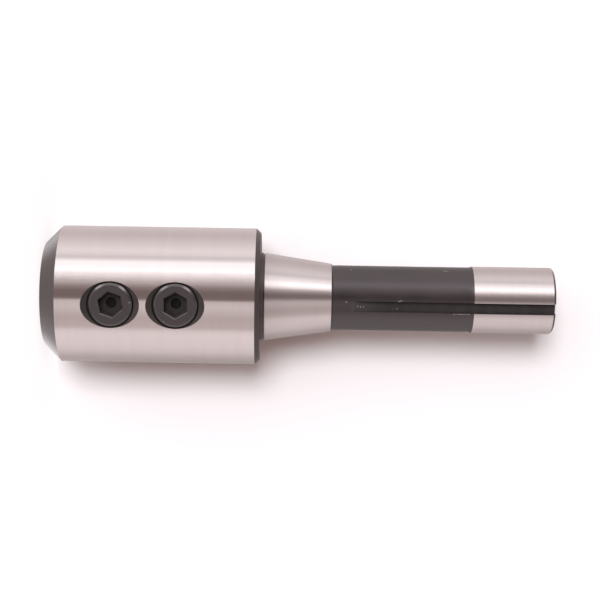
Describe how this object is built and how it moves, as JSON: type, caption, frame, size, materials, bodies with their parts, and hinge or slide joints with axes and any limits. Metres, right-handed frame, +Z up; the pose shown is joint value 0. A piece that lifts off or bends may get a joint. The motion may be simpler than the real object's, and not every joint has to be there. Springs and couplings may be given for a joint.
{
  "type": "endmill holder",
  "caption": "Side-lock endmill holder: ground barrel with a cutter bore, hex-socket set screws and a spindle-taper shank with keyway and drawbar thread.",
  "frame": {"origin": "centre of the nose face, where the holder stands on end", "axes": "+Z up the holder's axis towards the rear of the shank, -Y the way the set screws face"},
  "size_m": [0.0493, 0.0492, 0.1833],
  "materials": {
    "ground_steel": "ground hardened steel on the barrel, taper and rear land; black oxide on the nose bevel, back face, groove, relieved shank, keyway and screw holes",
    "black_screw_steel": "black oxide on alloy steel, slightly satin, edges rubbed bright"
  },
  "bodies": {
    "holder": {"holder_body": "ground_steel"},
    "front_screw": {"front_set_screw": "black_screw_steel"},
    "rear_screw": {"rear_set_screw": "black_screw_steel"}
  },
  "joints": [
    {"name": "front_screw_travel", "type": "slide", "parent": "holder", "child": "front_screw", "axis": [0, 1, 0], "range_m": [-0.00706, 0.00423]},
    {"name": "rear_screw_travel", "type": "slide", "parent": "holder", "child": "rear_screw", "axis": [0, 1, 0], "range_m": [-0.00706, 0.00423]}
  ]
}
